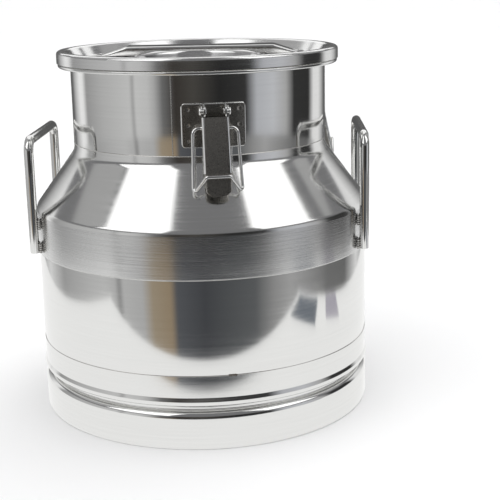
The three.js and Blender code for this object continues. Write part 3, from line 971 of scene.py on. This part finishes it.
def level_card(name, across, deep, height, material, seen_by_camera=False):
    """A level rectangle, from its ends across and its ends in depth."""
    (left, right), (near, far) = across, deep
    corners = [(left, near, height), (right, near, height), (right, far, height), (left, far, height)]
    return stage_mesh(name, corners, [(0, 1, 2, 3)], material, seen_by_camera)


def glow(name, colour, strength=1.0):
    """A plain light-giving material for a card."""
    material = bpy.data.materials.new(name)
    material.use_nodes = True
    nodes = material.node_tree.nodes
    nodes.remove(nodes["Principled BSDF"])
    lamp = nodes.new("ShaderNodeEmission")
    lamp.inputs["Color"].default_value = (*colour, 1)
    lamp.inputs["Strength"].default_value = strength
    material.node_tree.links.new(lamp.outputs[0], nodes["Material Output"].inputs["Surface"])
    return material


def room_material(name, tones):
    """A wall of the room round the table, as tones by degrees of azimuth from the front."""
    material = glow(name, (1, 1, 1))
    nodes = material.node_tree.nodes
    links = material.node_tree.links
    coordinates = nodes.new("ShaderNodeTexCoord")
    split = nodes.new("ShaderNodeSeparateXYZ")
    links.new(coordinates.outputs["Object"], split.inputs[0])
    forward = link_math(nodes, links, "MULTIPLY", split.outputs["Y"], -1.0)
    angle = link_math(nodes, links, "ARCTAN2", split.outputs["X"], forward)
    turned = link_math(nodes, links, "SUBTRACT", angle, CAMERA_AZIMUTH)
    share = link_math(nodes, links, "MULTIPLY_ADD", turned, 1 / (2 * math.pi))
    share.node.inputs[2].default_value = 0.5
    ramp = nodes.new("ShaderNodeValToRGB")
    links.new(share, ramp.inputs["Fac"])
    elements = ramp.color_ramp.elements
    while len(elements) > 1:
        elements.remove(elements[-1])
    for i, (degrees, *tone) in enumerate(tones):
        colour = tone if len(tone) == 3 else tone * 3
        position = degrees / 360 + 0.5
        element = elements[0] if i == 0 else elements.new(position)
        element.position = position
        element.color = (*colour, 1)
    links.new(ramp.outputs["Color"], nodes["Emission"].inputs["Color"])
    return material


def wall(name, low, high, tones):
    """A round wall of the room, between two heights."""
    steps = 96
    verts = []
    for z in (low, high):
        for i in range(steps):
            a = 2 * math.pi * i / steps
            verts.append((ROOM_RADIUS * math.sin(a), -ROOM_RADIUS * math.cos(a), z))
    faces = [(i, (i + 1) % steps, steps + (i + 1) % steps, steps + i) for i in range(steps)]
    stage_mesh(name, verts, faces, room_material(name, tones))


def sky_patch(name, azimuths, zenith, material):
    """A piece of a sphere over the can, between two azimuths and two angles from overhead."""
    verts = []
    steps = 12
    for j in range(steps + 1):
        down = math.radians(zenith[0] + (zenith[1] - zenith[0]) * j / steps)
        for i in range(steps + 1):
            a = math.radians(azimuths[0] + (azimuths[1] - azimuths[0]) * i / steps)
            flat = SKY_RADIUS * math.sin(down)
            height = SKY_CENTRE + SKY_RADIUS * math.cos(down)
            verts.append((flat * math.sin(a), -flat * math.cos(a), height))
    faces = []
    for j in range(steps):
        for i in range(steps):
            k = j * (steps + 1) + i
            faces.append((k, k + 1, k + steps + 2, k + steps + 1))
    stage_mesh(name, verts, faces, material)


def make_floor():
    """The plain pale floor. Steel doesn't mirror it, because the table card stands in for it."""
    material, nodes, links, shader = new_material("floor")
    shader.inputs["Base Color"].default_value = (0.9, 0.9, 0.9, 1)
    shader.inputs["Roughness"].default_value = 0.9
    ends = (-FLOOR_HALF, FLOOR_HALF)
    floor = level_card("floor", ends, ends, 0, material, True)
    floor.visible_glossy = False


def make_table():
    """The pale table, and two small things lying on it at the right."""
    table = glow("table", (0.98, 0.98, 0.975))
    level_card("table_card", (-0.54, 0.54), (-0.326, 0.9), -0.002, table)
    for name, tone, across, deep in (
        ("box_card", (0.17, 0.19, 0.22), (0.355, 0.50), (-0.30, -0.16)),
        ("bag_card", (0.46, 0.44, 0.50), (0.39, 0.52), (-0.10, -0.01)),
    ):
        level_card(name, across, deep, 0.001, glow(name, tone))


def make_sky():
    """Softboxes and grey tent sides overhead, and the dim light between them."""
    white = glow("softbox", (1, 1, 1), 1.6)
    grey = glow("tent", (0.42, 0.42, 0.42))
    back_light = glow("back_light", (1, 1, 1), 1.15)
    high = (14, 62)
    sky_patch("softbox_left", (-80, -28), high, white)
    sky_patch("softbox_right", (42, 88), high, white)
    sky_patch("tent_left", (-135, -84), high, grey)
    sky_patch("tent_right", (100, 125), high, grey)
    sky_patch("softbox_back", (135, 225), high, back_light)
    sky_patch("softbox_rear_low", (150, 212), (62, 80), back_light)
    world = bpy.data.worlds.new("studio")
    bpy.context.scene.world = world
    world.use_nodes = True
    background = world.node_tree.nodes["Background"]
    background.inputs["Color"].default_value = (0.20, 0.20, 0.205, 1)


def make_backdrop():
    """White behind everything, which only the camera sees."""
    verts = []
    faces = []
    rings = 24
    around = 48
    for j in range(rings + 1):
        down = math.pi * j / rings
        flat = BACKDROP_RADIUS * math.sin(down)
        for i in range(around):
            a = 2 * math.pi * i / around
            verts.append((flat * math.cos(a), flat * math.sin(a), BACKDROP_RADIUS * math.cos(down)))
    for j in range(rings):
        for i in range(around):
            k = (i + 1) % around
            upper = j * around
            lower = upper + around
            faces.append((upper + i, upper + k, lower + k, lower + i))
    backdrop = stage_mesh("backdrop", verts, faces, glow("backdrop", (0.94, 0.94, 0.94)), True)
    backdrop.visible_glossy = False
    backdrop.visible_diffuse = False
    backdrop.visible_shadow = False


def make_suns():
    """Two wide suns that light the floor and throw the soft shadow. Steel doesn't mirror them."""
    for name, tilt, strength in (("key_sun", (20, -14, 0), 1.95), ("fill_sun", (-16, 22, 0), 1.5)):
        data = bpy.data.lights.new(name, "SUN")
        data.angle = math.radians(70)
        data.energy = strength
        lamp = bpy.data.objects.new(name, data)
        bpy.context.scene.collection.objects.link(lamp)
        lamp.rotation_euler = [math.radians(a) for a in tilt]
        lamp.visible_glossy = False


def make_studio():
    """Everything round the can. All but the floor, the backdrop and the suns only shows in steel."""
    bpy.context.scene.view_settings.view_transform = "Standard"
    make_floor()
    make_table()
    wall("low_room", ROOM_BOTTOM, ROOM_SPLIT, LOW_ROOM)
    wall("high_room", ROOM_SPLIT, ROOM_TOP, HIGH_ROOM)
    make_sky()
    make_backdrop()
    make_suns()


make_camera()
make_can()
make_welds()
make_lid()
make_side_handle("right", 0)
make_side_handle("left", math.pi)
make_latches()
make_studio()
